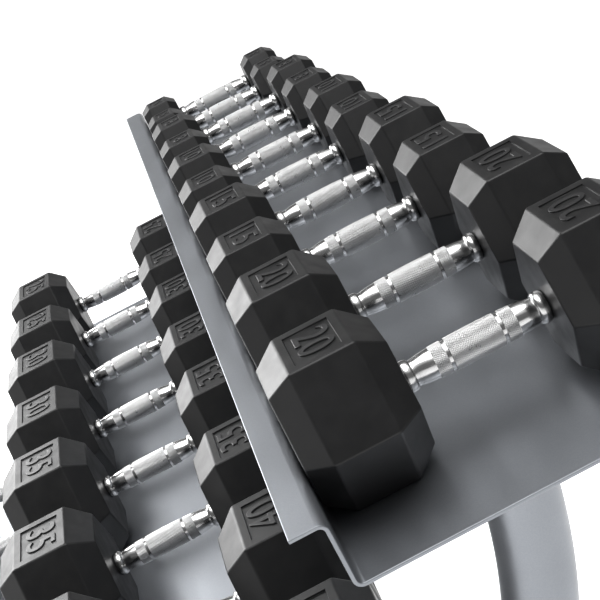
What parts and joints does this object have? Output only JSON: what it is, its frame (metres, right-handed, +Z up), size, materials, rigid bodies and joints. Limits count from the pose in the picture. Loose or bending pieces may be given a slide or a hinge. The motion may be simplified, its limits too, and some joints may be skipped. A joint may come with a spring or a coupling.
{
  "type": "dumbbell rack",
  "caption": "Tiered dumbbell rack with tilted folded-sheet trays on bent round-tube uprights, filled with pairs of hexagonal dumbbells that lift off.",
  "frame": {"origin": "on the floor, under the middle of the bounding box", "axes": "+X runs along the rack to the user's right, the user stands at -Y and faces +Y, +Z is up"},
  "size_m": [1.425, 0.8402, 1.0423],
  "materials": {
    "silver_paint": "satin silver-grey metallic powder coat",
    "zinc_bolt": "bright zinc plate",
    "cap_plastic": "matte black, lightly textured",
    "floor_pad_rubber": "matte black",
    "hex_dumbbell": "satin black rubber coat over iron",
    "handle_chrome": "chrome plate, knurled in the middle"
  },
  "bodies": {
    "rack": {"top_tray": "silver_paint", "middle_tray": "silver_paint", "bottom_tray": "silver_paint", "left_upright": "silver_paint", "left_foot": "silver_paint", "left_front_strut": "silver_paint", "left_foot_cap_front": "cap_plastic", "left_floor_pad_front": "floor_pad_rubber", "left_foot_cap_rear": "cap_plastic", "left_floor_pad_rear": "floor_pad_rubber", "left_top_plate": "silver_paint", "left_bottom_arm": "silver_paint", "left_middle_arm": "silver_paint", "left_bottom_tray_bolt": "zinc_bolt", "left_middle_tray_bolt": "zinc_bolt", "left_top_tray_bolt": "zinc_bolt", "left_upper_bar_bolt": "zinc_bolt", "left_lower_bar_bolt": "zinc_bolt", "right_upright": "silver_paint", "right_foot": "silver_paint", "right_front_strut": "silver_paint", "right_foot_cap_front": "cap_plastic", "right_floor_pad_front": "floor_pad_rubber", "right_foot_cap_rear": "cap_plastic", "right_floor_pad_rear": "floor_pad_rubber", "right_top_plate": "silver_paint", "right_bottom_arm": "silver_paint", "right_middle_arm": "silver_paint", "right_bottom_tray_bolt": "zinc_bolt", "right_middle_tray_bolt": "zinc_bolt", "right_top_tray_bolt": "zinc_bolt", "right_upper_bar_bolt": "zinc_bolt", "right_lower_bar_bolt": "zinc_bolt", "upper_cross_bar": "silver_paint", "lower_cross_bar": "silver_paint"},
    "dumbbell_5lb_left": {"dumbbell_5lb_left": "hex_dumbbell"},
    "dumbbell_5lb_right": {"dumbbell_5lb_right": "hex_dumbbell"},
    "dumbbell_8lb_left": {"dumbbell_8lb_left": "hex_dumbbell"},
    "dumbbell_8lb_right": {"dumbbell_8lb_right": "hex_dumbbell"},
    "dumbbell_10lb_left": {"dumbbell_10lb_left": "hex_dumbbell"},
    "dumbbell_10lb_right": {"dumbbell_10lb_right": "hex_dumbbell"},
    "dumbbell_15lb_left": {"dumbbell_15lb_left": "hex_dumbbell"},
    "dumbbell_15lb_right": {"dumbbell_15lb_right": "hex_dumbbell"},
    "dumbbell_20lb_left": {"dumbbell_20lb_left": "hex_dumbbell"},
    "dumbbell_20lb_right": {"dumbbell_20lb_right": "hex_dumbbell"},
    "dumbbell_25lb_left": {"dumbbell_25lb_left": "hex_dumbbell"},
    "dumbbell_25lb_right": {"dumbbell_25lb_right": "hex_dumbbell"},
    "dumbbell_30lb_left": {"dumbbell_30lb_left": "hex_dumbbell"},
    "dumbbell_30lb_right": {"dumbbell_30lb_right": "hex_dumbbell"},
    "dumbbell_35lb_left": {"dumbbell_35lb_left": "hex_dumbbell"},
    "dumbbell_35lb_right": {"dumbbell_35lb_right": "hex_dumbbell"},
    "dumbbell_40lb_left": {"dumbbell_40lb_left": "hex_dumbbell"},
    "dumbbell_40lb_right": {"dumbbell_40lb_right": "hex_dumbbell"},
    "dumbbell_45lb_left": {"dumbbell_45lb_left": "hex_dumbbell"},
    "dumbbell_45lb_right": {"dumbbell_45lb_right": "hex_dumbbell"},
    "dumbbell_50lb_left": {"dumbbell_50lb_left": "hex_dumbbell"},
    "dumbbell_50lb_right": {"dumbbell_50lb_right": "hex_dumbbell"},
    "dumbbell_55lb_left": {"dumbbell_55lb_left": "hex_dumbbell"},
    "dumbbell_55lb_right": {"dumbbell_55lb_right": "hex_dumbbell"}
  },
  "joints": [
    {"name": "lift_dumbbell_5lb_left", "type": "slide", "parent": "rack", "child": "dumbbell_5lb_left", "axis": [0, -0.2756, 0.9613], "range_m": [0, 0.25]},
    {"name": "lift_dumbbell_5lb_right", "type": "slide", "parent": "rack", "child": "dumbbell_5lb_right", "axis": [0, -0.2756, 0.9613], "range_m": [0, 0.25]},
    {"name": "lift_dumbbell_8lb_left", "type": "slide", "parent": "rack", "child": "dumbbell_8lb_left", "axis": [0, -0.2756, 0.9613], "range_m": [0, 0.25]},
    {"name": "lift_dumbbell_8lb_right", "type": "slide", "parent": "rack", "child": "dumbbell_8lb_right", "axis": [0, -0.2756, 0.9613], "range_m": [0, 0.25]},
    {"name": "lift_dumbbell_10lb_left", "type": "slide", "parent": "rack", "child": "dumbbell_10lb_left", "axis": [0, -0.2756, 0.9613], "range_m": [0, 0.25]},
    {"name": "lift_dumbbell_10lb_right", "type": "slide", "parent": "rack", "child": "dumbbell_10lb_right", "axis": [0, -0.2756, 0.9613], "range_m": [0, 0.25]},
    {"name": "lift_dumbbell_15lb_left", "type": "slide", "parent": "rack", "child": "dumbbell_15lb_left", "axis": [0, -0.2756, 0.9613], "range_m": [0, 0.25]},
    {"name": "lift_dumbbell_15lb_right", "type": "slide", "parent": "rack", "child": "dumbbell_15lb_right", "axis": [0, -0.2756, 0.9613], "range_m": [0, 0.25]},
    {"name": "lift_dumbbell_20lb_left", "type": "slide", "parent": "rack", "child": "dumbbell_20lb_left", "axis": [0, -0.2756, 0.9613], "range_m": [0, 0.25]},
    {"name": "lift_dumbbell_20lb_right", "type": "slide", "parent": "rack", "child": "dumbbell_20lb_right", "axis": [0, -0.2756, 0.9613], "range_m": [0, 0.25]},
    {"name": "lift_dumbbell_25lb_left", "type": "slide", "parent": "rack", "child": "dumbbell_25lb_left", "axis": [0, -0.2756, 0.9613], "range_m": [0, 0.09]},
    {"name": "lift_dumbbell_25lb_right", "type": "slide", "parent": "rack", "child": "dumbbell_25lb_right", "axis": [0, -0.2756, 0.9613], "range_m": [0, 0.09]},
    {"name": "lift_dumbbell_30lb_left", "type": "slide", "parent": "rack", "child": "dumbbell_30lb_left", "axis": [0, -0.2756, 0.9613], "range_m": [0, 0.09]},
    {"name": "lift_dumbbell_30lb_right", "type": "slide", "parent": "rack", "child": "dumbbell_30lb_right", "axis": [0, -0.2756, 0.9613], "range_m": [0, 0.09]},
    {"name": "lift_dumbbell_35lb_left", "type": "slide", "parent": "rack", "child": "dumbbell_35lb_left", "axis": [0, -0.2756, 0.9613], "range_m": [0, 0.09]},
    {"name": "lift_dumbbell_35lb_right", "type": "slide", "parent": "rack", "child": "dumbbell_35lb_right", "axis": [0, -0.2756, 0.9613], "range_m": [0, 0.09]},
    {"name": "lift_dumbbell_40lb_left", "type": "slide", "parent": "rack", "child": "dumbbell_40lb_left", "axis": [0, -0.2756, 0.9613], "range_m": [0, 0.09]},
    {"name": "lift_dumbbell_40lb_right", "type": "slide", "parent": "rack", "child": "dumbbell_40lb_right", "axis": [0, -0.2756, 0.9613], "range_m": [0, 0.09]},
    {"name": "lift_dumbbell_45lb_left", "type": "slide", "parent": "rack", "child": "dumbbell_45lb_left", "axis": [0, -0.2756, 0.9613], "range_m": [0, 0.062]},
    {"name": "lift_dumbbell_45lb_right", "type": "slide", "parent": "rack", "child": "dumbbell_45lb_right", "axis": [0, -0.2756, 0.9613], "range_m": [0, 0.062]},
    {"name": "lift_dumbbell_50lb_left", "type": "slide", "parent": "rack", "child": "dumbbell_50lb_left", "axis": [0, -0.2756, 0.9613], "range_m": [0, 0.062]},
    {"name": "lift_dumbbell_50lb_right", "type": "slide", "parent": "rack", "child": "dumbbell_50lb_right", "axis": [0, -0.2756, 0.9613], "range_m": [0, 0.062]},
    {"name": "lift_dumbbell_55lb_left", "type": "slide", "parent": "rack", "child": "dumbbell_55lb_left", "axis": [0, -0.2756, 0.9613], "range_m": [0, 0.062]},
    {"name": "lift_dumbbell_55lb_right", "type": "slide", "parent": "rack", "child": "dumbbell_55lb_right", "axis": [0, -0.2756, 0.9613], "range_m": [0, 0.062]}
  ]
}
